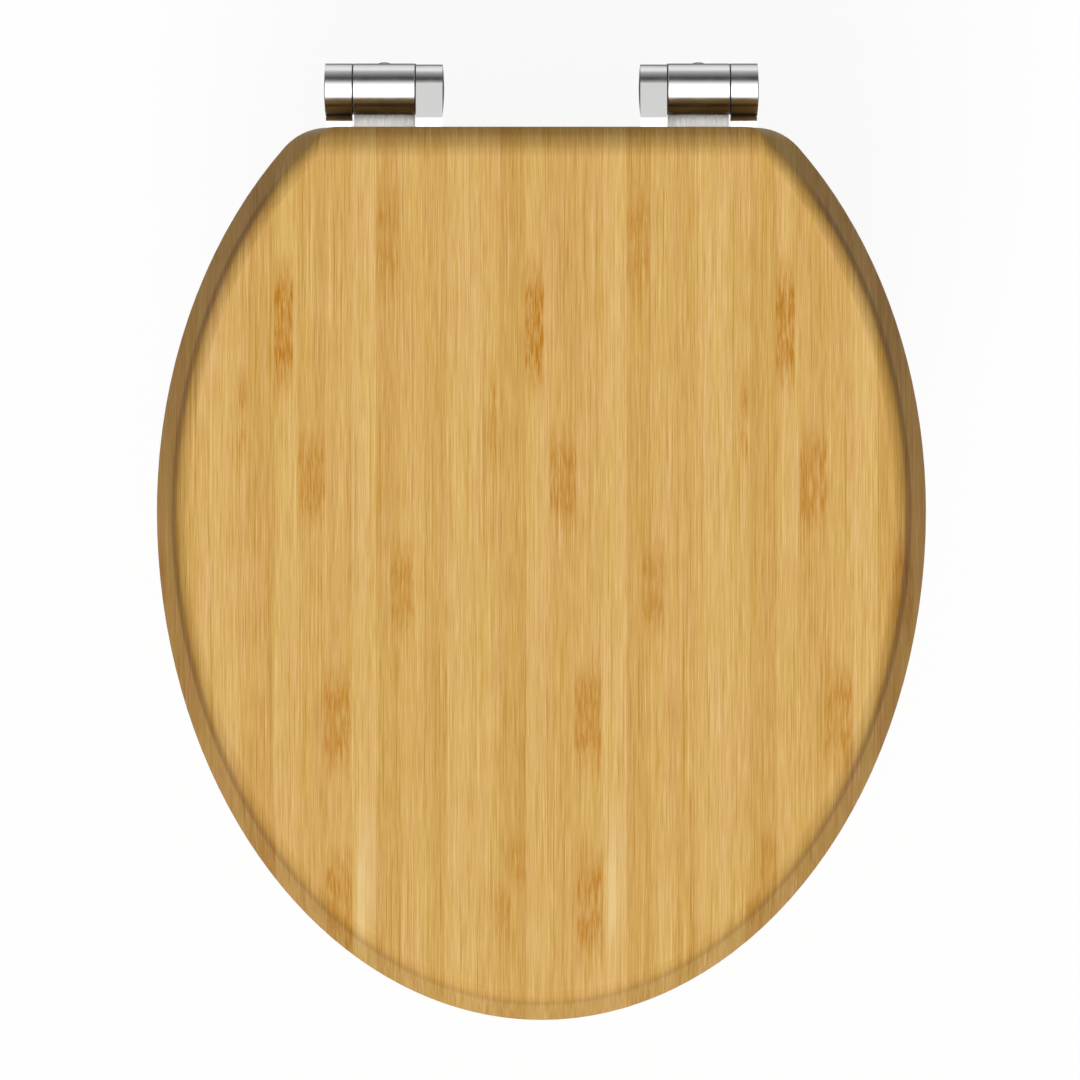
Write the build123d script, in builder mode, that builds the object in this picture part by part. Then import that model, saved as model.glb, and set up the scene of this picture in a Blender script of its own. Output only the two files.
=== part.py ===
from build123d import *
import os
from math import asin, atan2, cos, degrees, radians, sin, tan

# A bamboo toilet seat with its lid, on chromed soft-close hinges that lift off the pan.
# Origin midway between the two pan bolts, on top of the pan. +X right, +Y to the back, +Z up.
# All sizes are in millimetres. Left and right are as seen from above, with the front below.

# Outline of the lid, seen from above: two half ellipses that meet at the widest line
lid_half_width = 187.5
lid_front_reach = 248.0
lid_back_reach = 187.0
lid_back_bow = 238.5
lid_corner_radius = 28.0

# Outline of the seat ring and its opening
ring_inset = 2.0
opening_half_width = 112.0
opening_front_margin = 66.0
opening_back_margin = 85.0

# Thickness of each layer, from the pan upwards
gasket_thickness = 1.5
plate_thickness = 3.0
foot_height = 12.0
ring_thickness = 19.0
pad_height = 5.0
lid_thickness = 20.0

# Edges of the two boards: the lid's crown rolls down to a bevelled band with a rounded lip
rim_band_width = 8.3
rim_band_slope = 56.0
crown_radius = 9.0
crown_slope = 62.0
lip_radius = 3.0
lid_lower_bevel = 1.5
crown_corner_radius = 10.0
back_roll_width = 15.0
back_roll_radius = 20.0
ring_upper_radius = 8.0
ring_lower_bevel = 2.5

# Hinge line and knuckles
hinge_spacing = 154.0
hinge_setback = 28.0
axis_to_lid_edge = 19.7
axis_below_lid = 15.4
barrel_diameter = 25.0
barrel_length = 30.6
barrel_edge = 0.4
neck_depth = 22.0
knuckle_gap = 0.4
knuckle_width = 13.0
knuckle_dome = 0.7
seat_knuckle_diameter = 25.0
lid_knuckle_diameter = 24.0

# Hinge leaves: an arm from the knuckle to a screw plate, sloping up to the lid on the lid's leaf
lid_arm_slope = 12.0
leaf_thickness = 3.0
leaf_root_fillet = 3.0
leaf_plate_width = 30.0
leaf_plate_length = 42.0
leaf_plate_corner = 5.0
leaf_plate_margin = 4.0
leaf_hole_diameter = 4.4
leaf_hole_circle = 10.5
leaf_hole_count = 3

# Pivots inside each barrel: a damper at its right end, a plain pin at its left end
damper_diameter = 14.0
damper_flats = 12.5
damper_length = 24.0
damper_recess = 0.4
shaft_diameter = 8.0
shaft_flats = 6.0
shaft_depth = 13.0
pin_diameter = 8.0
pivot_reach = 10.6
washer_diameter = 23.4

# Quick release: a sprung button whose window catches the groove of a pin on the base plate
button_diameter = 8.2
button_height = 5.1
button_proud = 2.7
button_dome = 1.2
button_travel = 2.0
latch_thickness = 2.4
latch_bar = 2.4
catch_diameter = 9.0
catch_groove_diameter = 6.5
catch_height = 8.1
spring_strip = 0.3
spring_width = 2.0
spring_span = 10.0
pocket_wall = 1.6

# Base plate and the fixing through the pan
plate_side_margin = 0.3
plate_back_margin = 0.8
plate_corner = 4.0
gasket_inset = 0.6
slot_length = 14.0
bolt_diameter = 8.0
bolt_head_diameter = 15.5
bolt_head_height = 2.5
bolt_plain_length = 22.0
bolt_length = 72.0
thread_diameter = 7.2
bush_drop = 26.0
cone_length = 13.0
cone_top_diameter = 12.0
cone_base_diameter = 24.0
nut_height = 14.0
nut_diameter = 18.0
wing_span = 44.0
wing_thickness = 4.0
wing_height = 12.0
wing_drop = 4.0
wing_corner = 4.0

# Rubber bumpers under the ring and under the lid, with a recess for the screw that holds each one
bumper_length = 34.0
bumper_width = 13.0
bumper_edge = 1.2
bumper_hole_diameter = 3.8
bumper_recess_diameter = 7.6
bumper_recess_depth = 2.8
foot_front_angle = 38.0
foot_rear_angle = 112.0
pad_angle = 30.0

# Clearances
press_clearance = 0.02
running_clearance = 0.05
sliding_clearance = 0.15
screw_clearance = 0.1
slot_clearance = 0.2
catch_clearance = 0.2
end_clearance = 0.3

# Levels and lines that follow from the sizes above
plate_top = gasket_thickness + plate_thickness
ring_bottom = foot_height
ring_top = ring_bottom + ring_thickness
lid_bottom = ring_top + pad_height
lid_top = lid_bottom + lid_thickness
axis_y = hinge_setback
axis_z = lid_bottom - axis_below_lid
hinge_line = Axis((0, axis_y, axis_z), (1, 0, 0))
lid_back_y = axis_y - axis_to_lid_edge
ring_back_y = lid_back_y - ring_inset
widest_y = lid_back_y - lid_back_reach
sides = {"left": -1, "right": 1}
hinge_x = {name: side * hinge_spacing / 2 for name, side in sides.items()}

os.makedirs("parts", exist_ok=True)


def keep(part, name):
    """Labels one finished piece and writes it under its own name."""
    part.label = name
    export_step(part, f"parts/{name}.step")


def turned(profile):
    """Solid turned about Z from a half profile of (radius, height) points."""
    with BuildPart() as solid:
        with BuildSketch(Plane.XZ):
            with BuildLine():
                Polyline(*profile, close=True)
            make_face()
        revolve(axis=Axis.Z)
    return solid.part


def placed(part, points):
    """Copies of one part, set at each of the points."""
    with BuildPart() as copies:
        with Locations(*points):
            add(part)
    return copies.part


# The two boards


def oval(half_width, front_reach, back_reach):
    """Egg-shaped face about the widest line, made of two half ellipses."""
    with BuildSketch() as face:
        with BuildLine():
            EllipticalCenterArc((0, widest_y), half_width, front_reach, 180, arc_size=180)
            EllipticalCenterArc((0, widest_y), half_width, back_reach, 0, arc_size=180)
        make_face()
    return face.sketch


def board_outline(inset, back_y, corner_radius):
    """The lid's egg, moved in at the front and sides, cut straight at the back with round corners."""
    with BuildSketch() as face:
        add(oval(lid_half_width - inset, lid_front_reach - inset, lid_back_bow - inset))
        with Locations((0, back_y)):
            Rectangle(
                2 * lid_half_width,
                lid_front_reach + lid_back_reach,
                align=(Align.CENTER, Align.MAX),
                mode=Mode.INTERSECT,
            )
        fillet(face.vertices().group_by(Axis.Y)[-1], corner_radius)
    return face.sketch


def on_ring(angle, side):
    """Middle of the ring's band at an angle from the front, with the band's direction there."""
    turn = radians(angle)
    ring_half_width = lid_half_width - ring_inset
    ring_reach = (lid_front_reach if angle < 90 else lid_back_bow) - ring_inset
    opening_reach = opening_front_reach if angle < 90 else opening_back_reach
    path_half_width = (ring_half_width + opening_half_width) / 2
    path_reach = (ring_reach + opening_reach) / 2
    heading = degrees(atan2(side * path_reach * sin(turn), path_half_width * cos(turn)))
    return side * path_half_width * sin(turn), widest_y - path_reach * cos(turn), heading


def leaf_plate_centre(barrel_x, toward, board_back_y):
    """Middle of a leaf's screw plate, level with its knuckle's inner end and inside the board's edge."""
    x = barrel_x + toward * (knuckle_near + leaf_plate_width / 2)
    return x, board_back_y - leaf_plate_margin - leaf_plate_length / 2


knuckle_near = barrel_length / 2 + knuckle_gap
opening_front_reach = lid_front_reach - ring_inset - opening_front_margin
opening_back_reach = lid_back_reach - ring_inset - opening_back_margin
foot_spots = {
    f"{end}_{name}": on_ring(angle, side)
    for end, angle in (("front", foot_front_angle), ("rear", foot_rear_angle))
    for name, side in sides.items()
}
pad_spots = {name: on_ring(pad_angle, side) for name, side in sides.items()}
lid_plates = {name: leaf_plate_centre(hinge_x[name], -side, lid_back_y) for name, side in sides.items()}
seat_plates = {name: leaf_plate_centre(hinge_x[name], side, ring_back_y) for name, side in sides.items()}


def quarter_round(radius):
    """Steps of a rounded edge, each a move in from the wall and a depth from the flat face."""
    turns = [radians(90 * step / round_steps) for step in range(round_steps + 1)]
    return [(radius * (1 - sin(turn)), radius * (1 - cos(turn))) for turn in turns]


def ring_opening(growth):
    """The ring's opening, made wider by a growth all round."""
    return oval(opening_half_width + growth, opening_front_reach + growth, opening_back_reach + growth)


def ring_outline(inset):
    """The ring's outer edge, moved in by an inset all round."""
    return board_outline(ring_inset + inset, ring_back_y - inset, lid_corner_radius - inset)


# Seat ring: one bamboo board with an egg-shaped opening, rounded above and bevelled below
round_steps = 3
ring_wall = ring_thickness - ring_lower_bevel - ring_upper_radius
with BuildPart() as seat_ring:
    with BuildSketch(Plane.XY.offset(ring_bottom)):
        add(ring_outline(ring_lower_bevel))
    with BuildSketch(Plane.XY.offset(ring_bottom + ring_lower_bevel)):
        add(ring_outline(0))
    loft(ruled=True)
    with BuildSketch(Plane.XY.offset(ring_bottom + ring_lower_bevel)):
        add(ring_outline(0))
    extrude(amount=ring_wall)
    for inset, depth in quarter_round(ring_upper_radius):
        with BuildSketch(Plane.XY.offset(ring_top - depth)):
            add(ring_outline(inset))
    loft()
    with BuildSketch(Plane.XY.offset(ring_bottom)):
        add(ring_opening(ring_lower_bevel))
    with BuildSketch(Plane.XY.offset(ring_bottom + ring_lower_bevel)):
        add(ring_opening(0))
    loft(ruled=True, mode=Mode.SUBTRACT)
    with BuildSketch(Plane.XY.offset(ring_bottom + ring_lower_bevel)):
        add(ring_opening(0))
    extrude(amount=ring_wall, mode=Mode.SUBTRACT)
    for growth, depth in quarter_round(ring_upper_radius):
        with BuildSketch(Plane.XY.offset(ring_top - depth)):
            add(ring_opening(growth))
    loft(mode=Mode.SUBTRACT)
keep(seat_ring.part, "seat_ring")

# Lid: one bamboo board. Its rim narrows to nothing at the back corners, where every level of it
# runs into the same straight back edge, and the back edge is rolled over by itself.
band_turn = radians(rim_band_slope)
crown_turn = radians(crown_slope)
crease_level = lid_top - crown_radius * (1 - cos(crown_turn))
lip_inset = lip_radius * (1 - sin(band_turn))
lip_level = crease_level - (rim_band_width - lip_inset) * tan(band_turn)
wall_level = lip_level - lip_radius * cos(band_turn)
crown_inset = rim_band_width + crown_radius * sin(crown_turn)
lip_steps = 3
crown_steps = 4


def lid_section(inset):
    """Level outline of the lid, with back corners that tighten from the lip to the crown."""
    corner_radius = lid_corner_radius - (lid_corner_radius - crown_corner_radius) * inset / crown_inset
    return board_outline(inset, lid_back_y, corner_radius)


with BuildPart() as lid:
    with BuildSketch(Plane.XY.offset(lid_bottom)):
        add(board_outline(lid_lower_bevel, lid_back_y - lid_lower_bevel, lid_corner_radius - lid_lower_bevel))
    with BuildSketch(Plane.XY.offset(lid_bottom + lid_lower_bevel)):
        add(lid_section(0))
    loft(ruled=True)
    with BuildSketch(Plane.XY.offset(lid_bottom + lid_lower_bevel)):
        add(lid_section(0))
    extrude(amount=wall_level - lid_bottom - lid_lower_bevel)
    for step in range(lip_steps + 1):
        turn = radians(90) + (band_turn - radians(90)) * step / lip_steps
        with BuildSketch(Plane.XY.offset(wall_level + lip_radius * cos(turn))):
            add(lid_section(lip_radius * (1 - sin(turn))))
    loft()
    with BuildSketch(Plane.XY.offset(lip_level)):
        add(lid_section(lip_inset))
    with BuildSketch(Plane.XY.offset(crease_level)):
        add(lid_section(rim_band_width))
    loft(ruled=True)
    for step in range(crown_steps + 1):
        turn = crown_turn * (1 - step / crown_steps)
        with BuildSketch(Plane.XY.offset(lid_top - crown_radius * (1 - cos(turn)))):
            add(lid_section(crown_inset - crown_radius * sin(turn)))
    loft()
    with BuildSketch(Plane.YZ):
        with BuildLine():
            roll = CenterArc(
                (lid_back_y - back_roll_width, lid_top - back_roll_radius),
                back_roll_radius,
                90,
                -degrees(asin(back_roll_width / back_roll_radius)),
            )
            Polyline(roll @ 1, (lid_back_y, lid_top), roll @ 0)
        make_face()
    extrude(amount=lid_half_width, both=True, mode=Mode.SUBTRACT)
keep(lid.part, "lid")


# Bumpers: oblong rubber cushions under the ring and under the lid


def bumper(spot, bottom, height):
    """One cushion, set along the middle of the ring's band, its lower edge broken."""
    x, y, heading = spot
    with BuildPart() as cushion:
        with BuildSketch(Plane.XY.offset(bottom)):
            with Locations((x, y)):
                SlotOverall(bumper_length, bumper_width, rotation=heading)
        extrude(amount=height)
        chamfer(cushion.faces().sort_by(Axis.Z)[0].edges(), bumper_edge)
        with Locations(Plane((x, y, bottom), z_dir=(0, 0, -1))):
            CounterBoreHole(bumper_hole_diameter / 2, bumper_recess_diameter / 2, bumper_recess_depth)
    return cushion.part


for name, spot in foot_spots.items():
    keep(bumper(spot, 0, foot_height), f"ring_foot_{name}")
for name, spot in pad_spots.items():
    keep(bumper(spot, ring_top, pad_height), f"lid_pad_{name}")

# Hinge leaves: chromed castings, the seat's on the outer knuckles and the lid's on the inner ones


def hinge_leaf(barrel_x, toward, radius, arm, root, centre, plate_bottom):
    """One leaf: a domed knuckle, the arm with its filleted root, and the drilled screw plate."""
    near = barrel_x + toward * knuckle_near
    far = near + toward * knuckle_width
    with BuildPart() as leaf:
        with BuildSketch(Plane.XY.offset(axis_z)):
            with BuildLine():
                tip = (far + toward * knuckle_dome, axis_y)
                dome = TangentArc(tip, (far, axis_y + radius), tangent=(0, 1))
                Polyline(dome @ 1, (near, axis_y + radius), (near, axis_y), tip)
            make_face()
        revolve(axis=hinge_line)
        with BuildSketch(Plane.YZ.offset(min(near, far))) as web:
            with BuildLine():
                Polyline(*arm, close=True)
            make_face()
            fillet(web.vertices().sort_by_distance(root)[0], leaf_root_fillet)
        extrude(amount=knuckle_width)
        with BuildSketch(Plane.XY.offset(plate_bottom)) as plate:
            with Locations(centre):
                Rectangle(leaf_plate_width, leaf_plate_length)
            fillet(plate.vertices().group_by(Axis.Y)[0], leaf_plate_corner)
        extrude(amount=leaf_thickness)
        with BuildSketch(Plane.XY.offset(plate_bottom)):
            with Locations(centre):
                with PolarLocations(leaf_hole_circle, leaf_hole_count, 90):
                    Circle(leaf_hole_diameter / 2)
        extrude(amount=leaf_thickness, mode=Mode.SUBTRACT)
        with BuildSketch(Plane.YZ.offset(near)):
            with Locations((axis_y, axis_z)):
                if toward > 0:
                    Circle(shaft_diameter / 2 + press_clearance)
                    Rectangle(shaft_diameter * 2, shaft_flats + 2 * press_clearance, mode=Mode.INTERSECT)
                else:
                    Circle(pin_diameter / 2 + running_clearance)
        extrude(amount=toward * (pivot_reach + end_clearance), mode=Mode.SUBTRACT)
    return leaf.part


def seat_arm(radius, plate_bottom, reach_y):
    """Side view of the seat leaf's arm, which drops from the knuckle's front to the plate below."""
    front_y = axis_y - radius
    root = (front_y, plate_bottom + leaf_thickness)
    outline = [
        (axis_y, axis_z),
        (front_y, axis_z),
        root,
        (reach_y, plate_bottom + leaf_thickness),
        (reach_y, plate_bottom),
        (axis_y, plate_bottom),
    ]
    return outline, root


def lid_arm(radius, plate_bottom, reach_y):
    """Side view of the lid leaf's arm, whose top leaves the knuckle at a tangent and rises to the lid."""
    slope = radians(lid_arm_slope)
    front_y = axis_y - radius
    plate_level = plate_bottom + leaf_thickness
    tangent_y = axis_y + radius * sin(slope)
    tangent_z = axis_z + radius * cos(slope)
    crest_y = tangent_y - (plate_level - tangent_z) / tan(slope)
    root = (front_y, plate_bottom)
    outline = [
        (axis_y, axis_z),
        (tangent_y, tangent_z),
        (crest_y, plate_level),
        (reach_y, plate_level),
        (reach_y, plate_bottom),
        root,
        (front_y, axis_z),
    ]
    return outline, root


seat_plate_bottom = ring_bottom - leaf_thickness
lid_plate_bottom = lid_bottom - leaf_thickness
for name, side in sides.items():
    radius = seat_knuckle_diameter / 2
    arm, root = seat_arm(radius, seat_plate_bottom, seat_plates[name][1])
    leaf = hinge_leaf(hinge_x[name], side, radius, arm, root, seat_plates[name], seat_plate_bottom)
    keep(leaf, f"seat_leaf_{name}")
    radius = lid_knuckle_diameter / 2
    arm, root = lid_arm(radius, lid_plate_bottom, lid_plates[name][1])
    leaf = hinge_leaf(hinge_x[name], -side, radius, arm, root, lid_plates[name], lid_plate_bottom)
    keep(leaf, f"lid_leaf_{name}")

# Hinge bodies: a cast barrel on a neck that stands on the base plate and hides the quick release
neck_back_y = axis_y + neck_depth / 2
button_z = plate_top + button_height
latch_bottom = button_z - latch_thickness / 2
latch_top = button_z + latch_thickness / 2
window_front_y = axis_y - catch_groove_diameter / 2 - catch_clearance
window_back_y = axis_y + catch_diameter / 2 + button_travel + catch_clearance
window_width = catch_diameter + 2 * catch_clearance
latch_front_y = window_front_y - latch_bar
latch_width = window_width + 2 * latch_bar
button_start_y = window_back_y + latch_bar
pocket_front_y = axis_y - neck_depth / 2 + pocket_wall
catch_top = plate_top + catch_height


def hinge_body(x):
    """Barrel and neck in one casting, bored for the damper, the pivot pin, the catch pin and the latch."""
    left_end = x - barrel_length / 2
    right_end = x + barrel_length / 2
    with BuildPart() as body:
        with BuildSketch(Plane.YZ.offset(left_end)):
            with Locations((axis_y, axis_z)):
                Circle(barrel_diameter / 2)
            with Locations((axis_y, plate_top)):
                Rectangle(neck_depth, axis_z - plate_top, align=(Align.CENTER, Align.MIN))
        extrude(amount=barrel_length)
        chamfer(body.edges().filter_by(GeomType.CIRCLE), barrel_edge)
        with BuildSketch(Plane.YZ.offset(right_end)):
            with Locations((axis_y, axis_z)):
                Circle(damper_diameter / 2)
                Rectangle(damper_diameter, damper_flats, mode=Mode.INTERSECT)
        extrude(amount=-damper_length, mode=Mode.SUBTRACT)
        with BuildSketch(Plane.YZ.offset(left_end)):
            with Locations((axis_y, axis_z)):
                Circle(pin_diameter / 2 + press_clearance)
        extrude(amount=barrel_length - damper_length, mode=Mode.SUBTRACT)
        with BuildSketch(Plane.XY.offset(plate_top)):
            with Locations((x, axis_y)):
                Circle(catch_diameter / 2 + sliding_clearance)
        extrude(amount=catch_height + catch_clearance, mode=Mode.SUBTRACT)
        with BuildSketch(Plane.XY.offset(latch_bottom - sliding_clearance)):
            with Locations((x, pocket_front_y)):
                Rectangle(
                    latch_width + 2 * sliding_clearance,
                    neck_back_y - pocket_front_y,
                    align=(Align.CENTER, Align.MIN),
                )
        extrude(amount=latch_thickness + 2 * sliding_clearance, mode=Mode.SUBTRACT)
        with BuildSketch(Plane.XZ.offset(-neck_back_y)):
            with Locations((x, button_z)):
                Circle(button_diameter / 2 + sliding_clearance)
        button_room = neck_back_y - button_start_y + button_travel + catch_clearance
        extrude(amount=button_room, mode=Mode.SUBTRACT)
    return body.part


def damper_housing(x):
    """Sealed damper body, kept from turning by its flats."""
    right_end = x + barrel_length / 2
    with BuildPart() as housing:
        with BuildSketch(Plane.YZ.offset(right_end - damper_length)):
            with Locations((axis_y, axis_z)):
                Circle(damper_diameter / 2 - press_clearance)
                Rectangle(damper_diameter, damper_flats - 2 * press_clearance, mode=Mode.INTERSECT)
        extrude(amount=damper_length - damper_recess)
        with BuildSketch(Plane.YZ.offset(right_end)):
            with Locations((axis_y, axis_z)):
                Circle(shaft_diameter / 2 + running_clearance)
        extrude(amount=-shaft_depth, mode=Mode.SUBTRACT)
    return housing.part


def damper_shaft(x):
    """The damper's shaft, round in its housing and flatted where it drives a knuckle."""
    right_end = x + barrel_length / 2
    with BuildPart() as shaft:
        with BuildSketch(Plane.YZ.offset(right_end - shaft_depth + end_clearance)):
            with Locations((axis_y, axis_z)):
                Circle(shaft_diameter / 2)
        extrude(amount=shaft_depth - end_clearance + knuckle_gap)
        with BuildSketch(Plane.YZ.offset(right_end + knuckle_gap)):
            with Locations((axis_y, axis_z)):
                Circle(shaft_diameter / 2)
                Rectangle(shaft_diameter, shaft_flats, mode=Mode.INTERSECT)
        extrude(amount=pivot_reach)
    return shaft.part


def pivot_pin(x):
    """Plain pin, pressed through the barrel's left end wall."""
    wall_end = x + barrel_length / 2 - damper_length
    pin_end = x - knuckle_near - pivot_reach
    with BuildPart() as pin:
        with BuildSketch(Plane.YZ.offset(pin_end)):
            with Locations((axis_y, axis_z)):
                Circle(pin_diameter / 2)
        extrude(amount=wall_end - pin_end)
    return pin.part


def hinge_washer(x, toward):
    """Thin washer round a pivot, which keeps a knuckle off the barrel's end."""
    with BuildPart() as washer:
        with BuildSketch(Plane.YZ.offset(x + toward * barrel_length / 2)):
            with Locations((axis_y, axis_z)):
                Circle(washer_diameter / 2)
                Circle(pin_diameter / 2 + running_clearance, mode=Mode.SUBTRACT)
        extrude(amount=toward * (knuckle_gap - running_clearance))
    return washer.part


def release_button(x):
    """Domed push button with its flat latch, whose window lets the catch pin through."""
    rim_y = neck_back_y + button_proud - button_dome
    with BuildPart() as button:
        with BuildSketch(Plane.XY.offset(latch_bottom)):
            with Locations((x, latch_front_y)):
                Rectangle(latch_width, button_start_y - latch_front_y, align=(Align.CENTER, Align.MIN))
            with Locations((x, window_front_y)):
                Rectangle(
                    window_width,
                    window_back_y - window_front_y,
                    align=(Align.CENTER, Align.MIN),
                    mode=Mode.SUBTRACT,
                )
        extrude(amount=latch_thickness)
        with BuildSketch(Plane.XY.offset(button_z)):
            with BuildLine():
                dome = TangentArc((x, rim_y + button_dome), (x + button_diameter / 2, rim_y), tangent=(1, 0))
                Polyline(dome @ 1, (x + button_diameter / 2, button_start_y), (x, button_start_y), dome @ 0)
            make_face()
        revolve(axis=Axis((x, 0, button_z), (0, 1, 0)))
    return button.part


def release_spring(x):
    """Bowed leaf spring between the pocket's front wall and the latch."""
    back_y = latch_front_y - running_clearance
    front_y = pocket_front_y + running_clearance
    with BuildPart() as spring:
        with BuildSketch(Plane.XY.offset(button_z - spring_width / 2)):
            with BuildLine():
                half = spring_span / 2
                outer = ThreePointArc((x - half, front_y), (x, back_y), (x + half, front_y))
                half = spring_span / 2 - spring_strip
                bow_y = back_y - spring_strip
                inner = ThreePointArc((x - half, front_y), (x, bow_y), (x + half, front_y))
                Line(outer @ 0, inner @ 0)
                Line(outer @ 1, inner @ 1)
            make_face()
        extrude(amount=spring_width)
    return spring.part


# Catch pin: pressed into the base plate, with a groove for the latch
catch_pin = turned(
    [
        (0, gasket_thickness),
        (catch_diameter / 2, gasket_thickness),
        (catch_diameter / 2, latch_bottom - catch_clearance),
        (catch_groove_diameter / 2, latch_bottom - catch_clearance),
        (catch_groove_diameter / 2, latch_top + catch_clearance),
        (catch_diameter / 2, latch_top + catch_clearance),
        (catch_diameter / 2, catch_top),
        (0, catch_top),
    ]
)

for name, x in hinge_x.items():
    keep(hinge_body(x), f"hinge_body_{name}")
    keep(damper_housing(x), f"damper_housing_{name}")
    keep(damper_shaft(x), f"damper_shaft_{name}")
    keep(pivot_pin(x), f"pivot_pin_{name}")
    keep(hinge_washer(x, sides[name]), f"hinge_washer_outer_{name}")
    keep(hinge_washer(x, -sides[name]), f"hinge_washer_inner_{name}")
    keep(release_button(x), f"release_button_{name}")
    keep(release_spring(x), f"release_spring_{name}")
    keep(placed(catch_pin, [(x, axis_y, 0)]), f"catch_pin_{name}")


# Base plates and gaskets: round about the bolt's slot, running back under the neck


def base_layer(x, inset, bottom, thickness, slot_growth):
    """One flat layer of the pan fixing, with the slot that lets the bolt find the pan's hole."""
    width = barrel_length - 2 * plate_side_margin - 2 * inset
    back_y = neck_back_y + plate_back_margin - inset
    with BuildPart() as layer:
        with BuildSketch(Plane.XY.offset(bottom)) as face:
            with Locations((x, 0)):
                Rectangle(width, back_y, align=(Align.CENTER, Align.MIN))
            fillet(face.vertices().group_by(Axis.Y)[-1], plate_corner)
            with Locations((x, 0)):
                Circle(width / 2)
                SlotOverall(
                    slot_length + 2 * slot_growth,
                    bolt_diameter + 2 * slot_growth,
                    rotation=90,
                    mode=Mode.SUBTRACT,
                )
        extrude(amount=thickness)
    return layer.part


for name, x in hinge_x.items():
    with BuildPart() as base_plate:
        add(base_layer(x, 0, gasket_thickness, plate_thickness, slot_clearance))
        with Locations((x, axis_y, plate_top)):
            Hole(catch_diameter / 2 + press_clearance, depth=plate_thickness)
    keep(base_plate.part, f"base_plate_{name}")
    gasket = base_layer(x, gasket_inset, 0, gasket_thickness, 2 * slot_clearance)
    keep(gasket, f"pan_gasket_{name}")

# Pan bolt: low domed head, square neck in the slot, plain shank in the pan, thread below
thread_radius = thread_diameter / 2
with BuildPart() as pan_bolt:
    with BuildSketch(Plane.XZ):
        with BuildLine():
            rim = (bolt_head_diameter / 2, plate_top)
            crown = TangentArc((0, plate_top + bolt_head_height), rim, tangent=(1, 0))
            Polyline(
                crown @ 1,
                (bolt_diameter / 2, plate_top),
                (bolt_diameter / 2, -bolt_plain_length),
                (thread_radius, -bolt_plain_length),
                (thread_radius, -bolt_length),
                (0, -bolt_length),
                crown @ 0,
            )
        make_face()
    revolve(axis=Axis.Z)
    Box(bolt_diameter, bolt_diameter, plate_top, align=(Align.CENTER, Align.CENTER, Align.MIN))

# Cone bush and wing nut, run up the thread as far as the plain shank allows
bore_radius = thread_radius + screw_clearance
nut_top = -bush_drop - cone_length
cone_bush = turned(
    [
        (bore_radius, -bush_drop),
        (cone_top_diameter / 2, -bush_drop),
        (cone_base_diameter / 2, nut_top),
        (bore_radius, nut_top),
    ]
)
with BuildPart() as wing_nut:
    with Locations((0, 0, nut_top)):
        Cylinder(nut_diameter / 2, nut_height, align=(Align.CENTER, Align.CENTER, Align.MAX))
    with BuildSketch(Plane.XZ) as wings:
        with Locations((0, nut_top - wing_drop)):
            Rectangle(wing_span, wing_height, align=(Align.CENTER, Align.MAX))
        fillet(wings.vertices(), wing_corner)
    extrude(amount=wing_thickness / 2, both=True)
    with Locations((0, 0, nut_top)):
        Hole(bore_radius, depth=nut_height + wing_drop + wing_height)

for name, x in hinge_x.items():
    keep(placed(pan_bolt.part, [(x, 0, 0)]), f"pan_bolt_{name}")
    keep(placed(cone_bush, [(x, 0, 0)]), f"cone_bush_{name}")
    keep(placed(wing_nut.part, [(x, 0, 0)]), f"wing_nut_{name}")
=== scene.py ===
from math import asin, cos, pi, radians, sin

import bmesh
import bpy
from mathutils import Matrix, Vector


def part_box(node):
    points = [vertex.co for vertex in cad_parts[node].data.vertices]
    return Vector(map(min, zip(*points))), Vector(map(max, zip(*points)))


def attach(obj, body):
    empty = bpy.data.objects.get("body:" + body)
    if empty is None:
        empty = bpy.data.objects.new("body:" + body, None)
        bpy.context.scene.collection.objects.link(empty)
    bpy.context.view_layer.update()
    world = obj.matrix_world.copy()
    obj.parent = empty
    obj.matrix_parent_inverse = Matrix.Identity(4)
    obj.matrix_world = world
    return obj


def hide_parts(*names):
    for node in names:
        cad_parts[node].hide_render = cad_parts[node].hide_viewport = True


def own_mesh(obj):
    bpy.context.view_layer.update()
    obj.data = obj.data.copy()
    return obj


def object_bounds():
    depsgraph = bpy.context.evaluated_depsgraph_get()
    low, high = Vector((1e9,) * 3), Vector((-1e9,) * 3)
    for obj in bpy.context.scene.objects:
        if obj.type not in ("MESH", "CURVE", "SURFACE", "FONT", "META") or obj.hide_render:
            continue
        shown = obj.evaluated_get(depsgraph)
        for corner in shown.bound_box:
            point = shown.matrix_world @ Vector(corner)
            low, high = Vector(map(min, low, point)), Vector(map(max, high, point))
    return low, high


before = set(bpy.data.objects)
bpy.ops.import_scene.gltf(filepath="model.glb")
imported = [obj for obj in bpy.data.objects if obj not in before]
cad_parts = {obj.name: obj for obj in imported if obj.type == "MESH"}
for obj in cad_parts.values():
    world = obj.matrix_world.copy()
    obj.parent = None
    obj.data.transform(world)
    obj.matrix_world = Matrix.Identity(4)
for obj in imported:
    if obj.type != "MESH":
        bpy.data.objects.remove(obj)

cad_box = [list(corner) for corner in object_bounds()]


# Gaskets: a thin sheet of soft grey rubber under each base plate, die cut to the plate's outline.
# It keeps the steel off the glazed pan and is pinched there by the bolt, with nothing else holding it.

SIDES = ("left", "right")
NOISE_SPAN = (0.3, 0.7)
CLOUD_SCALE = 140.0
CLOUD_DETAIL = 4.0
PIT_DETAIL = 2.0
PIT_STRENGTH = 0.35
MOULD_GLOSS_SPREAD = 0.08


def srgb(red, green, blue):
    """A colour given as on a paint chart, 0 to 255, in the linear light that a shader takes."""
    parts = [value / 255 for value in (red, green, blue)]
    return [p / 12.92 if p <= 0.04045 else ((p + 0.055) / 1.055) ** 2.4 for p in parts] + [1.0]


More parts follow.
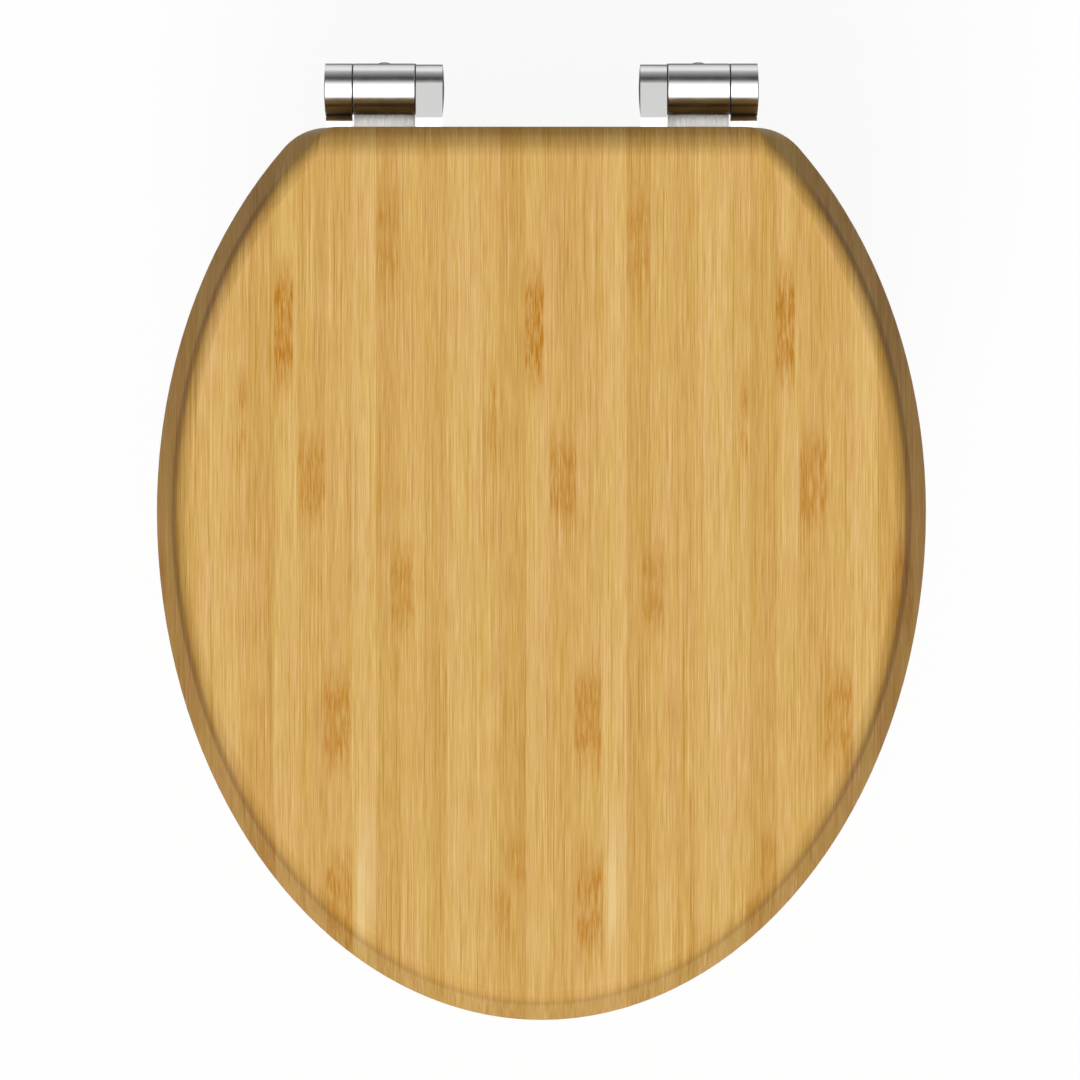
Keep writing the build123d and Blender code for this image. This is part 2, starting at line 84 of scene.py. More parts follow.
def node(tree, kind, inputs=(), **settings):
    """Adds one node. An input is a plain value, or the output of another node that is linked to it."""
    made = tree.nodes.new("ShaderNode" + kind)
    for name, value in settings.items():
        setattr(made, name, value)
    for key, value in dict(inputs).items():
        if isinstance(value, bpy.types.NodeSocket):
            tree.links.new(value, made.inputs[key])
        else:
            made.inputs[key].default_value = value
    return made


def ramp(tree, factor, stops, interpolation="LINEAR"):
    """A colour ramp through the given (place, colour) stops, read at factor."""
    made = node(tree, "ValToRGB", {"Fac": factor})
    elements = made.color_ramp.elements
    made.color_ramp.interpolation = interpolation
    for _ in stops[2:]:
        elements.new(0.5)
    for element, (place, colour) in zip(elements, stops):
        element.position = place
        element.color = colour
    return made.outputs["Color"]


def noise(tree, place, scale, detail, **more):
    """Soft random clouds over the piece, from 0 to 1."""
    made = node(tree, "TexNoise", {"Vector": place, "Scale": scale, "Detail": detail, **more})
    return made.outputs["Fac"]


def rescale(tree, value, span, onto=(0.0, 1.0), way="LINEAR"):
    """Carries a value over from one span to another, and holds it at the ends."""
    made = node(tree, "MapRange", {"Value": value, "From Min": span[0], "From Max": span[1],
                                   "To Min": onto[0], "To Max": onto[1]}, interpolation_type=way)
    return made.outputs["Result"]


def mottled(tree, value, dull, bright):
    """A colour that wanders between two shades as a noise does."""
    return ramp(tree, value, [(NOISE_SPAN[0], dull), (NOISE_SPAN[1], bright)])


def dent(tree, surface, height, strength, depth):
    """Sinks and raises the surface a little, as height says."""
    bump = node(tree, "Bump", {"Height": height, "Strength": strength, "Distance": depth})
    tree.links.new(bump.outputs["Normal"], surface.inputs["Normal"])


def start_finish(name):
    """Opens a finish and hands back its material, its node tree, its surface and the place on the piece."""
    finish = bpy.data.materials.new(name)
    finish.use_nodes = True
    tree = finish.node_tree
    surface = tree.nodes["Principled BSDF"]
    place = node(tree, "TexCoord").outputs["Object"]
    return finish, tree, surface, place


def moulded(name, dull, bright, roughness, pit_scale, pit_depth):
    """A moulded rubber or plastic: cloudy colour, uneven gloss and the fine pits of its mould."""
    finish, tree, surface, place = start_finish(name)
    clouds = noise(tree, place, CLOUD_SCALE, CLOUD_DETAIL)
    pits = noise(tree, place, pit_scale, PIT_DETAIL)
    tree.links.new(mottled(tree, clouds, dull, bright), surface.inputs["Base Color"])
    gloss = rescale(tree, pits, NOISE_SPAN,
                    (roughness - MOULD_GLOSS_SPREAD, roughness + MOULD_GLOSS_SPREAD))
    tree.links.new(gloss, surface.inputs["Roughness"])
    dent(tree, surface, pits, PIT_STRENGTH, pit_depth)
    return finish


def dress(finish, *nodes):
    """Puts a finish on carried-over pieces of the frame."""
    for name in nodes:
        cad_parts[name].material_slots[0].material = finish


soft_rubber = moulded("soft_rubber", srgb(186, 187, 184), srgb(203, 204, 200),
                      roughness=0.58, pit_scale=2600.0, pit_depth=0.00008)
for side in SIDES:
    dress(soft_rubber, f"pan_gasket_{side}")


# Base plates: blanked from stainless sheet and brushed along their length, with a slot for the bolt.
# Each lies on its gasket, carries the catch pin, and the hinge drops onto it.

BRUSHED_LENGTHWISE = (3500.0, 90.0, 3500.0)
BRUSHED_ROUGHNESS = (0.22, 0.40)
SCRATCH_DETAIL = 3.0
SCRATCH_STRENGTH = 0.15
SCRATCH_DEPTH = 0.00003


def scratched_steel(name, dull, bright, scratch_scale):
    """Bare steel with fine scratches, drawn out the way in which their scale is smallest."""
    finish, tree, surface, place = start_finish(name)
    drawn = node(tree, "Mapping", {"Vector": place, "Scale": scratch_scale}).outputs["Vector"]
    scratches = noise(tree, drawn, 1.0, SCRATCH_DETAIL)
    tree.links.new(mottled(tree, scratches, dull, bright), surface.inputs["Base Color"])
    gloss = rescale(tree, scratches, NOISE_SPAN, BRUSHED_ROUGHNESS)
    tree.links.new(gloss, surface.inputs["Roughness"])
    dent(tree, surface, scratches, SCRATCH_STRENGTH, SCRATCH_DEPTH)
    surface.inputs["Metallic"].default_value = 1.0
    return finish


stainless = scratched_steel("stainless", srgb(190, 189, 185), srgb(208, 207, 203), BRUSHED_LENGTHWISE)
for side in SIDES:
    dress(stainless, f"base_plate_{side}")


# Pan bolts: turned stainless studs with a domed head and a square neck that the plate's slot keeps still.
# The thread is rolled on below the plain shank. It is drawn where the bush and the nut leave it bare.

TURNED_ROUND = (220.0, 220.0, 4200.0)
THREAD_PITCH = 0.00125
THREAD_CREST_RADIUS = 0.004
THREAD_ROOT_RADIUS = 0.0036
THREAD_CREST_SHARE = 0.06
THREAD_ROOT_SHARE = 0.48
THREAD_STEPS = 28
THREAD_START_BELOW_PLATE = 0.0229
THREAD_END_CLEAR = 0.0006

turned_steel = scratched_steel("turned_steel", srgb(192, 192, 190), srgb(214, 214, 211), TURNED_ROUND)


def outward_mesh(work, name):
    """Closes the work on a mesh with its faces turned outward."""
    bmesh.ops.recalc_face_normals(work, faces=work.faces[:])
    mesh = bpy.data.meshes.new(name)
    work.to_mesh(mesh)
    work.free()
    return mesh


def add_piece(name, mesh, body, location=(0.0, 0.0, 0.0), turn=(0.0, 0.0, 0.0)):
    """Puts a new piece in its place, on the body that carries it."""
    piece = bpy.data.objects.new(name, mesh)
    bpy.context.scene.collection.objects.link(piece)
    piece.location = location
    piece.rotation_euler = turn
    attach(piece, body)
    return piece


def bolt_thread(name, centre_x, centre_y, top, bottom):
    """A rolled thread between two heights: one V ridge wound round the bolt, fading out at both ends."""
    turns = (top - bottom - THREAD_PITCH) / THREAD_PITCH
    steps = int(turns * THREAD_STEPS)
    work = bmesh.new()
    rows = []
    for step in range(steps + 1):
        angle = 2 * pi * step / THREAD_STEPS
        height = top - THREAD_PITCH / 2 - step * THREAD_PITCH / THREAD_STEPS
        fade = min(1.0, step / THREAD_STEPS, (steps - step) / THREAD_STEPS)
        crest = THREAD_ROOT_RADIUS + (THREAD_CREST_RADIUS - THREAD_ROOT_RADIUS) * fade
        ridge = ((THREAD_ROOT_RADIUS, THREAD_ROOT_SHARE), (crest, THREAD_CREST_SHARE),
                 (crest, -THREAD_CREST_SHARE), (THREAD_ROOT_RADIUS, -THREAD_ROOT_SHARE))
        rows.append([work.verts.new((centre_x + radius * cos(angle), centre_y + radius * sin(angle),
                                     height + rise * THREAD_PITCH)) for radius, rise in ridge])
    for upper, lower in zip(rows, rows[1:]):
        for first in range(3):
            work.faces.new((upper[first], upper[first + 1], lower[first + 1], lower[first]))
    mesh = outward_mesh(work, name)
    mesh.materials.append(turned_steel)
    add_piece(name, mesh, "fixing")


for side in SIDES:
    dress(turned_steel, f"pan_bolt_{side}")
    bolt_low, bolt_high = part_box(f"pan_bolt_{side}")
    bolt_x, bolt_y = (bolt_low.x + bolt_high.x) / 2, (bolt_low.y + bolt_high.y) / 2
    bush_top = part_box(f"cone_bush_{side}")[1].z
    nut_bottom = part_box(f"wing_nut_{side}")[0].z
    bolt_thread(f"thread_upper_{side}", bolt_x, bolt_y, -THREAD_START_BELOW_PLATE, bush_top)
    bolt_thread(f"thread_lower_{side}", bolt_x, bolt_y, nut_bottom, bolt_low.z + THREAD_END_CLEAR)


# Cone bushes and wing nuts: a soft rubber cone that centres the bolt in the pan's hole, and under it a
# nut moulded in white nylon with two wings to turn by hand.

white_nylon = moulded("white_nylon", srgb(226, 226, 221), srgb(238, 238, 234),
                      roughness=0.46, pit_scale=1800.0, pit_depth=0.00006)
for side in SIDES:
    dress(soft_rubber, f"cone_bush_{side}")
    dress(white_nylon, f"wing_nut_{side}")


# Catch pins: small turned pins of stainless steel, riveted upright in the base plate.
# The groove round each one is what the button's latch holds when the seat is pushed down.

for side in SIDES:
    dress(turned_steel, f"catch_pin_{side}")


# Hinge bodies: zinc castings, a barrel on a neck, ground smooth and chromed to a mirror.
# Each drops over its catch pin and hides it, and the pivots of ring and lid turn in its ends.

CHROME_DULL = srgb(234, 234, 233)
CHROME_BRIGHT = srgb(241, 241, 240)
CHROME_EDGE = (0.0, 0.0, 0.0, 1.0)
CHROME_ROUGHNESS = (0.20, 0.27)
SMEAR_SCALE = 90.0
SMEAR_DETAIL = 5.0
SMEAR_DISTORTION = 0.6
SMEAR_SPAN = (0.35, 0.75)


def mirror_chrome(name):
    """Chrome plate: a near mirror, dark at its outline, duller in patches from hands and wiping."""
    finish, tree, surface, place = start_finish(name)
    smears = noise(tree, place, SMEAR_SCALE, SMEAR_DETAIL, Distortion=SMEAR_DISTORTION)
    tree.links.new(mottled(tree, smears, CHROME_DULL, CHROME_BRIGHT), surface.inputs["Base Color"])
    tree.links.new(rescale(tree, smears, SMEAR_SPAN, CHROME_ROUGHNESS), surface.inputs["Roughness"])
    surface.inputs["Metallic"].default_value = 1.0
    surface.inputs["Specular Tint"].default_value = CHROME_EDGE
    return finish


chrome = mirror_chrome("chrome")
for side in SIDES:
    dress(chrome, f"hinge_body_{side}")


# Dampers and pivots: a black acetal cartridge with a flat-sided shaft, which slows the fall of ring or lid,
# at one end of each barrel, a plain steel pin pressed in at the other, and a thin washer at both, whose
# lip fills the bevel of the barrel's end and shows as a dark line beside each knuckle.

WASHER_BORE = 0.00405
WASHER_LIP_RADIUS = 0.01242
WASHER_SEAT_RADIUS = 0.0121
WASHER_LIP_REACH = 0.0003
WASHER_STEPS = 96


def turned_mesh(name, profile, steps):
    """Turns a profile of (radius, height) points about Z into a closed mesh."""
    work = bmesh.new()
    points = [work.verts.new((radius, 0.0, height)) for radius, height in profile]
    edges = [work.edges.new(pair) for pair in zip(points, points[1:])]
    bmesh.ops.spin(work, geom=points + edges, axis=(0, 0, 1), cent=(0, 0, 0), angle=2 * pi, steps=steps)
    bmesh.ops.remove_doubles(work, verts=work.verts[:], dist=1e-7)
    return outward_mesh(work, name)


def lipped_washer(name, outward):
    """One washer in place of its plain solid: flat against the knuckle, lipped over the barrel's bevel."""
    low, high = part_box(name)
    thick = high.x - low.x
    profile = [(WASHER_BORE, 0.0), (WASHER_SEAT_RADIUS, 0.0), (WASHER_LIP_RADIUS, -WASHER_LIP_REACH),
               (WASHER_LIP_RADIUS, thick), (WASHER_BORE, thick), (WASHER_BORE, 0.0)]
    mesh = turned_mesh(name + "_lipped", profile, WASHER_STEPS)
    mesh.materials.append(black_acetal)
    seat = (low.x if outward > 0 else high.x, (low.y + high.y) / 2, (low.z + high.z) / 2)
    washer = add_piece(name + "_lipped", mesh, "fixing", seat,
                       (0.0, outward * pi / 2, 0.0))
    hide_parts(name)


black_acetal = moulded("black_acetal", srgb(34, 34, 35), srgb(46, 46, 47),
                       roughness=0.42, pit_scale=2200.0, pit_depth=0.00005)
for side in SIDES:
    outward = 1 if side == "right" else -1
    dress(black_acetal, f"damper_housing_{side}", f"damper_shaft_{side}")
    dress(turned_steel, f"pivot_pin_{side}")
    lipped_washer(f"hinge_washer_outer_{side}", outward)
    lipped_washer(f"hinge_washer_inner_{side}", -outward)


# Release buttons: chromed caps behind the barrels, each on a latch that a bowed strip of spring steel
# pushes back out. The strip stands loose in its pocket and flattens as the button goes in.
# Pressing both frees the latches from the catch pins, and the whole seat lifts off.

SPRING_STRIP = 0.0003
SPRING_STEPS = 32
SHARP_ANGLE = radians(35)


def bow_line(low, high, inset):
    """Points along the strip's arc from foot to foot, inset from its outer face."""
    half, rise = (high.x - low.x) / 2 - inset, high.y - low.y - inset
    radius = (half * half + rise * rise) / (2 * rise)
    reach = asin(half / radius)
    angles = [reach * (2 * step / SPRING_STEPS - 1) for step in range(SPRING_STEPS + 1)]
    return [((low.x + high.x) / 2 + radius * sin(angle), low.y + rise - radius + radius * cos(angle))
            for angle in angles]


def leaf_spring(name):
    """One spring in place of its stiff solid, which the latch flattens against the pocket's wall."""
    low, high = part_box(name)
    work = bmesh.new()
    rows = []
    for outer, inner in zip(bow_line(low, high, 0.0), bow_line(low, high, SPRING_STRIP)):
        rows.append([work.verts.new((*point, height)) for point, height in
                     ((outer, low.z), (outer, high.z), (inner, high.z), (inner, low.z))])
    for here, there in zip(rows, rows[1:]):
        for corner in range(4):
            work.faces.new((here[corner - 1], here[corner], there[corner], there[corner - 1]))
    work.faces.new(rows[0])
    work.faces.new(rows[-1][::-1])
    mesh = outward_mesh(work, name + "_bowed")
    mesh.shade_smooth()
    mesh.set_sharp_from_angle(angle=SHARP_ANGLE)
    mesh.materials.append(stainless)
    spring = add_piece(name + "_bowed", mesh, "fixing")
    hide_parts(name)
    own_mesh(spring)


for side in SIDES:
    dress(chrome, f"release_button_{side}")
    leaf_spring(f"release_spring_{side}")


# Hinge leaves: chromed castings, each a knuckle with an arm and a plate under the board that it carries.
# The outer two carry the ring, the inner two the lid. Three pan-head wood screws hold each plate.

LEAF_THICKNESS = 0.003
LEAF_PLATE_LENGTH = 0.042
LEAF_SCREW_CIRCLE = 0.0105
LEAF_SCREW_ANGLES = (90, 210, 330)
LEAF_SCREW_TURN = 0.7
SCREW_HEAD_RADIUS = 0.0035
SCREW_HEAD_HEIGHT = 0.0015
SCREW_HEAD_ROUNDING = ((0.0, 1.0), (0.45, 0.97), (0.72, 0.84), (0.90, 0.58), (0.985, 0.28), (1.0, 0.0))
SCREW_SHANK_RADIUS = 0.0018
SCREW_SHANK_LENGTH = 0.012
SCREW_POINT_START = 0.7
SCREW_STEPS = 40
CROSS_REACH = 0.0019
CROSS_WIDTH = 0.00045
CROSS_DEPTH = 0.0009
CROSS_TAPER = 0.35
CROSS_CUTTER_START = 1.5


def cross_recess(name):
    """The cutter for a cross recess: two tapering blades that meet at a point inside the head."""
    work = bmesh.new()
    ends = ((-SCREW_HEAD_HEIGHT * CROSS_CUTTER_START, 1.0), (CROSS_DEPTH - SCREW_HEAD_HEIGHT, CROSS_TAPER))
    for turn in (0.0, pi / 2):
        corners = []
        for depth, shrink in ends:
            for along, across in ((1, 1), (-1, 1), (-1, -1), (1, -1)):
                x, y = along * CROSS_REACH * shrink, across * CROSS_WIDTH * (1 + shrink) / 2
                corners.append(work.verts.new((x * cos(turn) - y * sin(turn),
                                               x * sin(turn) + y * cos(turn), depth)))
        work.faces.new(corners[3::-1])
        work.faces.new(corners[4:])
        for first in range(4):
            after = (first + 1) % 4
            work.faces.new((corners[first], corners[after], corners[after + 4], corners[first + 4]))
    return outward_mesh(work, name)


def wood_screw_mesh():
    """A pan-head wood screw, head down: rounded head with its cross recess, shank and point above it."""
    profile = [(SCREW_HEAD_RADIUS * across, -SCREW_HEAD_HEIGHT * down)
               for across, down in SCREW_HEAD_ROUNDING]
    profile += [(SCREW_SHANK_RADIUS, 0.0), (SCREW_SHANK_RADIUS, SCREW_SHANK_LENGTH * SCREW_POINT_START),
                (0.0, SCREW_SHANK_LENGTH)]
    blank = bpy.data.objects.new("screw_blank", turned_mesh("screw_blank", profile, SCREW_STEPS))
    cutter = bpy.data.objects.new("screw_cutter", cross_recess("screw_cutter"))
    for made in (blank, cutter):
        bpy.context.scene.collection.objects.link(made)
    cut = blank.modifiers.new("recess", "BOOLEAN")
    cut.object = cutter
    cut.operation = "DIFFERENCE"
    cut.use_self = True
    bpy.context.view_layer.update()
    finished = bpy.data.meshes.new_from_object(blank.evaluated_get(bpy.context.evaluated_depsgraph_get()))
    finished.name = "wood_screw"
    for made in (blank, cutter):
        bpy.data.objects.remove(made)
    finished.shade_smooth()
    finished.set_sharp_from_angle(angle=SHARP_ANGLE)
    finished.materials.append(turned_steel)
    return finished


wood_screw = wood_screw_mesh()


def drive_screw(name, body, x, y, seat_height, turn):
    """Drives one wood screw up into the board, its head bearing on seat_height."""
    add_piece(name, wood_screw, body, (x, y, seat_height), (0.0, 0.0, turn))


for body, board, leaf in (("seat", "seat_ring", "seat_leaf"), ("lid", "lid", "lid_leaf")):
    for side in SIDES:
        dress(chrome, f"{leaf}_{side}")
        leaf_low, leaf_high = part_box(f"{leaf}_{side}")
        plate_x, plate_y = (leaf_low.x + leaf_high.x) / 2, leaf_low.y + LEAF_PLATE_LENGTH / 2
        plate_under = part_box(board)[0].z - LEAF_THICKNESS
        for count, angle in enumerate(LEAF_SCREW_ANGLES):
            drive_screw(f"{leaf}_screw_{side}_{count + 1}", body,
                        plate_x + LEAF_SCREW_CIRCLE * cos(radians(angle)),
                        plate_y + LEAF_SCREW_CIRCLE * sin(radians(angle)), plate_under,
                        LEAF_SCREW_TURN * count)


# Seat ring: a board of bamboo strips glued edge to edge, grain front to back, sawn to an oval with its
# opening, rounded over on top and bevelled below, sanded and sprayed with clear satin lacquer.

MM = 1000
RING_SHIFT = (0.047, 0.083, 0.0)

# The set of strips that repeats across the board: each one's left edge, in millimetres, and its shade.
STRIP_SET_START = -0.1518
STRIP_SET_WIDTH = 0.1218
STRIPS = ((0.0, 0.55), (9.3, 0.40), (21.9, 0.60), (32.6, 0.47), (46.3, 0.52), (59.5, 0.66),
          (71.1, 0.41), (82.8, 0.56), (94.5, 0.46), (105.7, 0.62))

# Nodes of the cane and paler streaks in that set: middle across, heart along, half width and half length,
# in millimetres, and strength. A node fades at its two ends and has a paler waist.
KNOTS = ((26.6, -89.0, 4.7, 38.0, 1.3), (40.4, -163.5, 6.8, 29.0, 0.9), (52.6, -279.0, 6.8, 32.0, 0.95),
         (77.0, -48.0, 5.8, 33.0, 0.7), (84.3, -216.5, 5.8, 29.0, 0.8), (18.5, -348.7, 4.2, 18.0, 0.7),
         (53.6, -371.0, 6.6, 34.0, 0.95), (6.6, -134.0, 1.7, 30.0, 0.8), (11.2, -376.0, 4.0, 19.0, 0.6))
PALE_STREAKS = ((64.3, -366.0, 2.0, 34.0, 0.75), (67.0, -352.0, 4.4, 40.0, 0.35))
PATCH_FADE = ((0.0, 0.0), (0.17, 0.42), (0.32, 0.95), (0.50, 0.68), (0.66, 1.0), (0.82, 0.45), (1.0, 0.0))
PATCH_EDGE = (0.86, 1.06)
RAGGED_END = 0.014
FLECK_SPAN = (0.34, 0.62)
FLECK_DEPTHS = (0.20, 0.90)
KNOT_COLOUR = srgb(184, 119, 8)
PALE_COLOUR = srgb(232, 200, 140)

# Layers of fibres: how many to the metre across and along the grain, and how much finer detail they have.
FINE_FIBRES = (2200.0, 45.0, 2.0)
HAIR_FIBRES = (1250.0, 9.0, 1.5)
STREAK_FIBRES = (330.0, 6.0, 2.0)
CLOUD_FIBRES = (130.0, 14.0, 2.0)
FLECK_FIBRES = (1000.0, 100.0, 2.0)
FIBRE_ROUGHNESS = 0.6
FIBRE_LAYING = 0.04
SIDE_GRAIN = (0.88, 0.98)
HAIR_SHADES = ((0.30, 0.60), (0.41, 0.30), (0.59, 0.30), (0.68, 0.0))
TONE_BASE = -1.21
FINE_WEIGHT = 1.35
HAIR_WEIGHT = 1.0
STREAK_WEIGHT = 0.45
FIBRE_COLOURS = ((0.05, srgb(189, 141, 60)), (0.5, srgb(211, 167, 93)), (0.95, srgb(229, 191, 124)))
YELLOW_TO_PINK = ((0.35, (0.99, 1.005, 0.91, 1.0)), (0.65, (1.005, 0.982, 1.03, 1.0)))

# The edge: painted shade in the lid's crease, by height and by share of the lid's length, and tints by how
# far
# faces turn up, endways and sideways: on slanted and endways faces partly the darker cut fibres and end
# grain, partly painted shade; on sideways faces painted shade.
CREASE_SPAN = (0.0492, 0.0560)
CREASE_SHADE_DEPTHS = ((0.0492, 0.0), (0.0512, 1.0), (0.0532, 0.92), (0.0547, 0.26), (0.0558, 0.20),
                 (0.0560, 0.0))
LID_SPAN = (-0.4267, 0.0083)
CREASE_SHADE_SHARES = ((0.0, 0.30), (0.20, 0.65), (0.35, 1.0), (0.91, 1.0), (0.945, 0.0))
CREASE_SHADE_COLOUR = (0.66, 0.63, 0.64, 1.0)
UNTINTED = (1.0, 1.0, 1.0, 1.0)
SLANT_FIBRE_AND_SHADE_TINTS = ((0.57, (0.655, 0.63, 0.55, 1.0)), (0.80, (0.77, 0.74, 0.69, 1.0)),
               (0.95, (0.86, 0.84, 0.83, 1.0)), (0.992, (0.945, 0.94, 0.93, 1.0)), (1.0, UNTINTED))
END_GRAIN_AND_SHADE_TINTS = ((0.86, UNTINTED), (0.97, (0.86, 0.84, 0.80, 1.0)))
FLANK_SHADE_TINTS = ((0.55, UNTINTED), (0.80, (0.91, 0.85, 0.76, 1.0)))
LACQUER_ROUGHNESS = (0.38, 0.50)
LACQUER_SPECULAR = 0.16
GRAIN_STRENGTH = 0.10
GRAIN_DEPTH = 0.00012


def reckon(tree, operation, *values):
    """One step of arithmetic on plain numbers and the outputs of other nodes."""
    return node(tree, "Math", dict(enumerate(values)), operation=operation).outputs[0]


def levels(tree, factor, stops, interpolation="LINEAR"):
    """A ramp through (place, level) stops of plain grey."""
    return ramp(tree, factor, [(place, (level, level, level, 1)) for place, level in stops], interpolation)


def mixed(tree, share, colour, other, way="MIX"):
    """Two colours mixed, or one shaded by the other, by a share from 0 to 1."""
    made = node(tree, "MixRGB", {"Fac": share, "Color1": colour, "Color2": other}, blend_type=way)
    return made.outputs["Color"]


def strip_patch(tree, across, along, spot):
    """A shade that fills one strip from side to side and fades along the grain at its two ends."""
    middle, heart, half_width, half_length, strength = spot
    aside = reckon(tree, "ABSOLUTE", reckon(tree, "SUBTRACT", across, middle / MM))
    flanks = [half_width * share / MM for share in PATCH_EDGE]
    sides = rescale(tree, aside, flanks, (strength, 0.0), "SMOOTHSTEP")
    length = rescale(tree, along, ((heart - half_length) / MM, (heart + half_length) / MM))
    return reckon(tree, "MULTIPLY", sides, levels(tree, length, PATCH_FADE, "EASE"))


def fibre_layers(tree, parts, sideways):
    """Clouds drawn out along the grain, in five layers, carried down over the board's sides."""
    on_side = rescale(tree, sideways, SIDE_GRAIN, way="SMOOTHSTEP")
    edge = reckon(tree, "MULTIPLY_ADD", parts["Z"], on_side, parts["X"])
    spread = node(tree, "CombineXYZ", {"X": edge, "Y": parts["Y"], "Z": parts["Z"]}).outputs["Vector"]
    layers = []
    for across, along, detail in (FINE_FIBRES, HAIR_FIBRES, STREAK_FIBRES, CLOUD_FIBRES, FLECK_FIBRES):
        drawn = node(tree, "Mapping", {"Vector": spread, "Scale": (across, along, across * FIBRE_LAYING)})
        layers.append(noise(tree, drawn.outputs["Vector"], 1.0, detail, Roughness=FIBRE_ROUGHNESS))
    return layers


def plain_wood(tree, across, fine, hairs, streaks, clouds):
    """Each strip's own shade, its lighter and darker fibres, and a slow drift from yellow to pink."""
    share = reckon(tree, "DIVIDE", across, STRIP_SET_WIDTH)
    strip_stops = [(edge / MM / STRIP_SET_WIDTH, shade) for edge, shade in STRIPS]
    tone = reckon(tree, "ADD", levels(tree, share, strip_stops, "CONSTANT"), TONE_BASE)
    lines = levels(tree, hairs, HAIR_SHADES)
    for layer, weight in ((fine, FINE_WEIGHT), (lines, HAIR_WEIGHT), (streaks, STREAK_WEIGHT)):
        tone = reckon(tree, "MULTIPLY_ADD", layer, weight, tone)
    return mixed(tree, 1.0, ramp(tree, tone, FIBRE_COLOURS), ramp(tree, clouds, YELLOW_TO_PINK), "MULTIPLY")


def with_nodes(tree, wood, across, grainwise, hairs, flecks):
    """The wood with its paler streaks and the darker nodes of the cane, ragged along the fibres."""
    ragged = rescale(tree, hairs, (0.0, 1.0), (-RAGGED_END, RAGGED_END))
    along = reckon(tree, "ADD", grainwise, ragged)
    knots = strip_patch(tree, across, along, KNOTS[0])
    for spot in KNOTS[1:]:
        knots = reckon(tree, "MAXIMUM", knots, strip_patch(tree, across, along, spot))
    depth = reckon(tree, "MULTIPLY", knots, rescale(tree, flecks, FLECK_SPAN, FLECK_DEPTHS))
    for spot in PALE_STREAKS:
        wood = mixed(tree, strip_patch(tree, across, along, spot), wood, PALE_COLOUR)
    return mixed(tree, depth, wood, KNOT_COLOUR)


def with_edges(tree, wood, height, grainwise, sideways, endways, upright):
    """The wood at the board's edge: painted shade in the crease and on the slanted, end and side faces,
    with some darker cut fibres and end grain.
    """
    low, high = CREASE_SPAN
    crease_stops = [((level - low) / (high - low), depth) for level, depth in CREASE_SHADE_DEPTHS]
    crease_shade = levels(tree, rescale(tree, height, CREASE_SPAN), crease_stops, "EASE")
    in_crease = levels(tree, rescale(tree, grainwise, LID_SPAN), CREASE_SHADE_SHARES)
    # Painted shade in the lid's crease, lighter toward the front and none at the back.
    wood = mixed(tree, reckon(tree, "MULTIPLY", crease_shade, in_crease), wood, CREASE_SHADE_COLOUR, "MULTIPLY")
    # Painted shade on steep edge faces by how far they turn up, endways and sideways; on slanted and end
    # faces partly the darker cut fibres and end grain.
    for facing, tints in ((upright, SLANT_FIBRE_AND_SHADE_TINTS), (endways, END_GRAIN_AND_SHADE_TINTS), (sideways, FLANK_SHADE_TINTS)):
        wood = mixed(tree, 1.0, wood, ramp(tree, facing, tints, "EASE"), "MULTIPLY")
    return wood


def bamboo(name, shift):
    """Lacquered bamboo: strips of differing shade, fibres along the grain, and the nodes of the cane."""
    finish, tree, surface, place = start_finish(name)
    moved = node(tree, "Mapping", {"Vector": place, "Location": shift}).outputs["Vector"]
    parts = node(tree, "SeparateXYZ", {"Vector": moved}).outputs
    height = node(tree, "SeparateXYZ", {"Vector": place}).outputs["Z"]
    normal = node(tree, "SeparateXYZ", {"Vector": node(tree, "TexCoord").outputs["Normal"]}).outputs
    sideways, endways, upright = [reckon(tree, "ABSOLUTE", normal[axis]) for axis in "XYZ"]

    fine, hairs, streaks, clouds, flecks = fibre_layers(tree, parts, sideways)
    start = reckon(tree, "SUBTRACT", parts["X"], STRIP_SET_START)
    across = reckon(tree, "FLOORED_MODULO", start, STRIP_SET_WIDTH)
    wood = plain_wood(tree, across, fine, hairs, streaks, clouds)
    wood = with_nodes(tree, wood, across, parts["Y"], hairs, flecks)
    # Painted shade in the lid's crease and on the board's steep edge faces.
    wood = with_edges(tree, wood, height, parts["Y"], sideways, endways, upright)
    tree.links.new(wood, surface.inputs["Base Color"])

    tree.links.new(rescale(tree, streaks, NOISE_SPAN, LACQUER_ROUGHNESS), surface.inputs["Roughness"])
    dent(tree, surface, fine, GRAIN_STRENGTH, GRAIN_DEPTH)
    surface.inputs["Specular IOR Level"].default_value = LACQUER_SPECULAR
    return finish


dress(bamboo("ring_bamboo", RING_SHIFT), "seat_ring")


# Feet: four long cushions of grey rubber under the ring, lying along its curve.
# Each has a sunk hole for one wood screw, so that the head never touches the pan.

BUMPER_SEAT_DEPTH = 0.0028
FIRST_FOOT_TURN = 0.4
FOOT_TURN_STEP = 0.9


def screw_bumper(name, body, turn):
    """Finishes one rubber bumper and drives the screw in its recess."""
    dress(soft_rubber, name)
    low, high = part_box(name)
    drive_screw(f"{name}_screw", body, (low.x + high.x) / 2, (low.y + high.y) / 2,
                low.z + BUMPER_SEAT_DEPTH, turn)


for count, corner in enumerate(("front_left", "front_right", "rear_left", "rear_right")):
    screw_bumper(f"ring_foot_{corner}", "seat", FIRST_FOOT_TURN + FOOT_TURN_STEP * count)


# Lid: the same board as the ring but whole, its edge moulded to a bevelled band with a crown rolled down
# to it and a rounded lip, and the back edge rolled off in front of the hinges.

LID_SHIFT = (0.0, 0.0, 0.0)

dress(bamboo("lid_bamboo", LID_SHIFT), "lid")


# Pads: two thin rubber cushions under the front of the lid, which land on the ring.
# They are screwed on as the feet are.

FIRST_PAD_TURN = 0.2
PAD_TURN_STEP = 1.1

for count, side in enumerate(SIDES):
    screw_bumper(f"lid_pad_{side}", "lid", FIRST_PAD_TURN + PAD_TURN_STEP * count)


# Studio: a pale paper floor a hand's breadth below the bolts, one wide soft light overhead, a lamp in
# front, and the dim walls and brighter horizon that the chrome shows in its bands.

